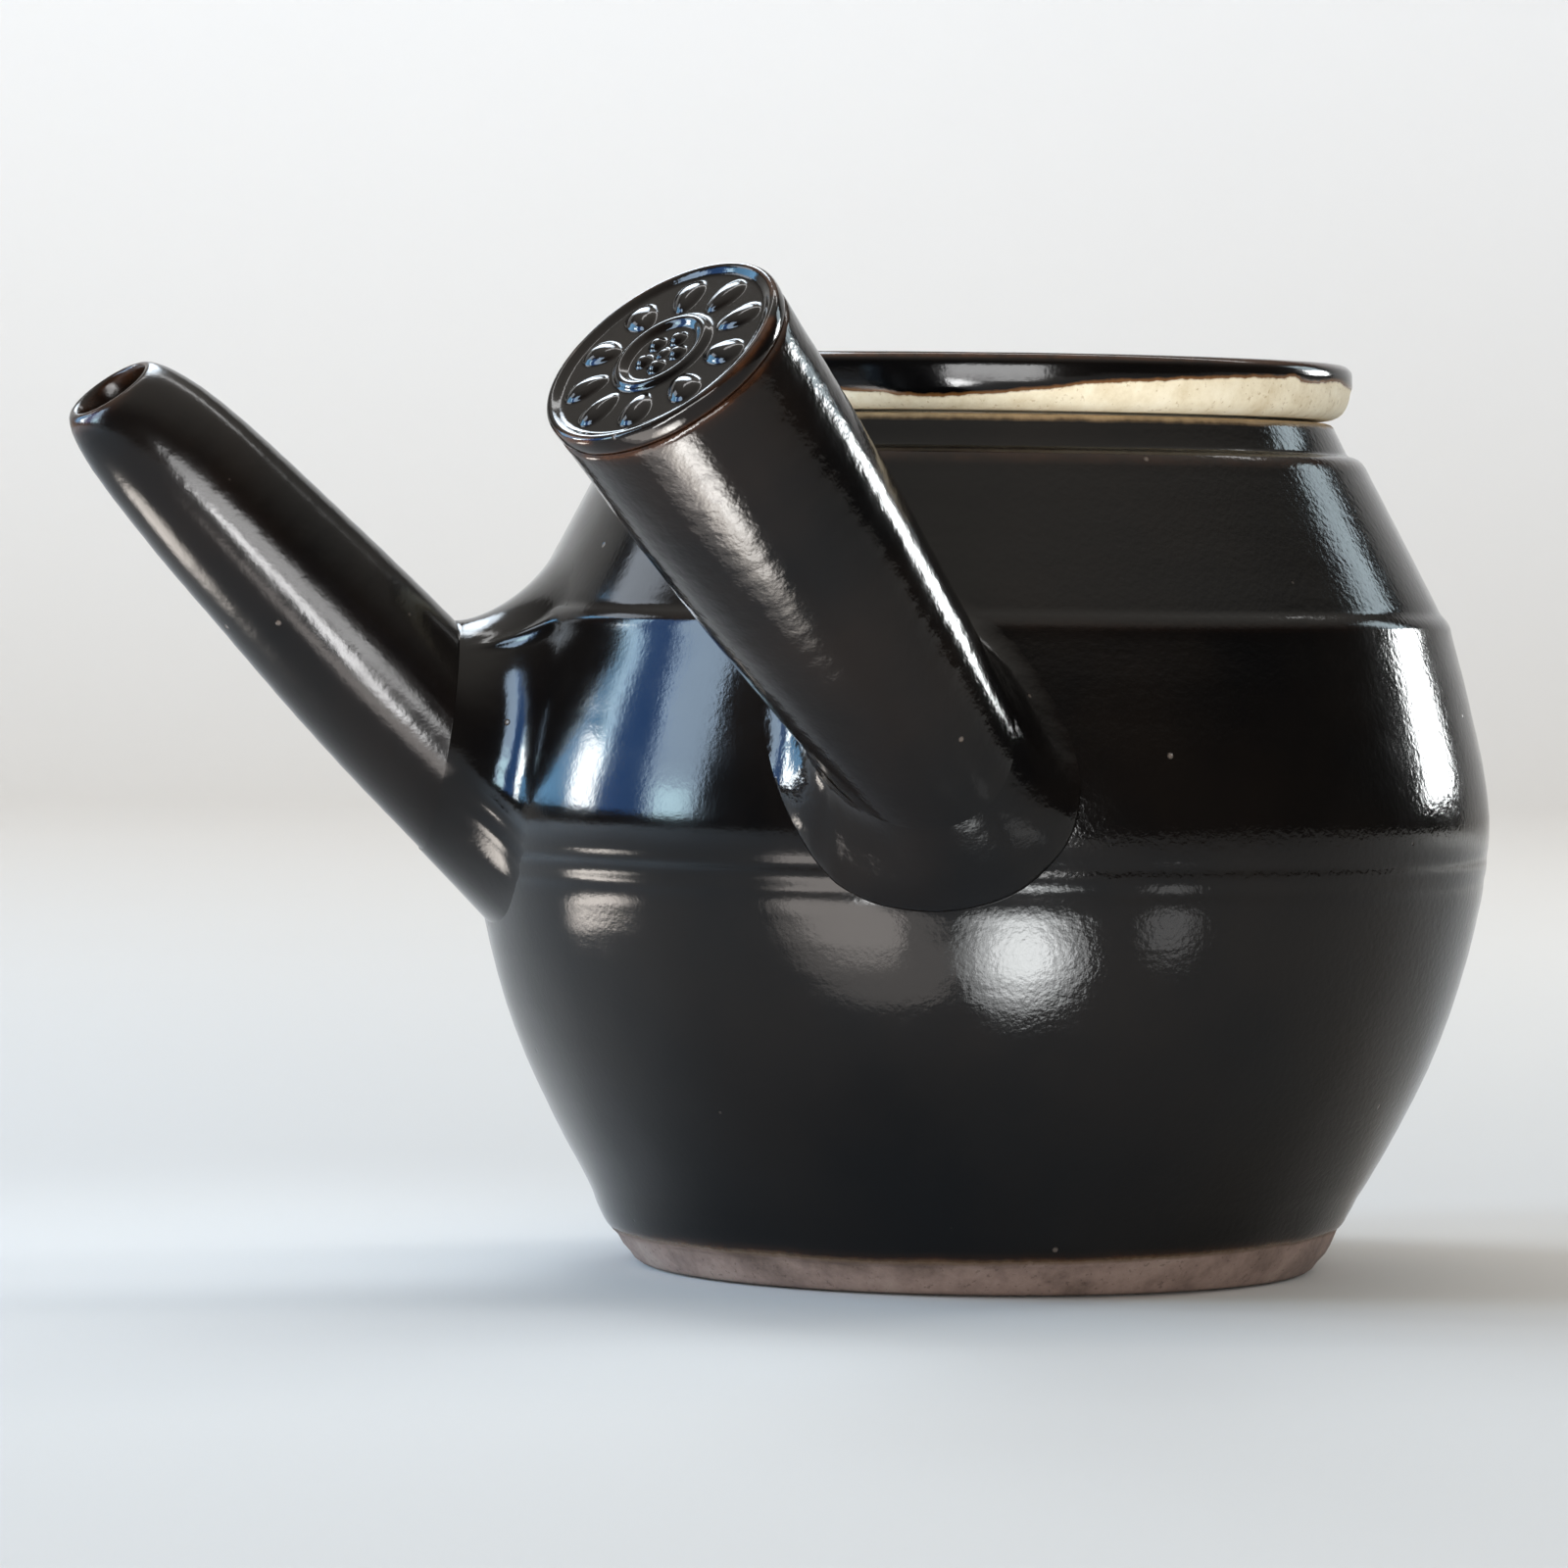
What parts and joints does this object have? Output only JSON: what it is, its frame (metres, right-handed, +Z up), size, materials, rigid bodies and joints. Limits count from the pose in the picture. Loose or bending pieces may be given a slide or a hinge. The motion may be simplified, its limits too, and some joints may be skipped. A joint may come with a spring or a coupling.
{
  "type": "teapot",
  "caption": "Side-handled stoneware teapot in dark glossy glaze, with a straight spout, a hollow handle and a loose lid",
  "frame": {"origin": "centre of the flat foot, on the table", "axes": "+Z is up along the pot's axis, the spout points along -X, and the handle's root is on the -Y side"},
  "size_m": [0.1679, 0.1535, 0.1143],
  "materials": {
    "dark_glaze": "glossy",
    "bare_clay": "matt"
  },
  "bodies": {
    "pot_body": {"pot": "dark_glaze", "strainer": "bare_clay", "spout": "dark_glaze", "spout_collar": "dark_glaze", "handle_tube": "dark_glaze", "handle_collar": "dark_glaze", "handle_end_cap": "dark_glaze"},
    "lid_body": {"lid": "dark_glaze", "lid_knob": "dark_glaze"}
  },
  "joints": [
    {"name": "lid_lift", "type": "slide", "parent": "pot_body", "child": "lid_body", "axis": [0, 0, 1], "range_m": [0, 0.05]}
  ]
}
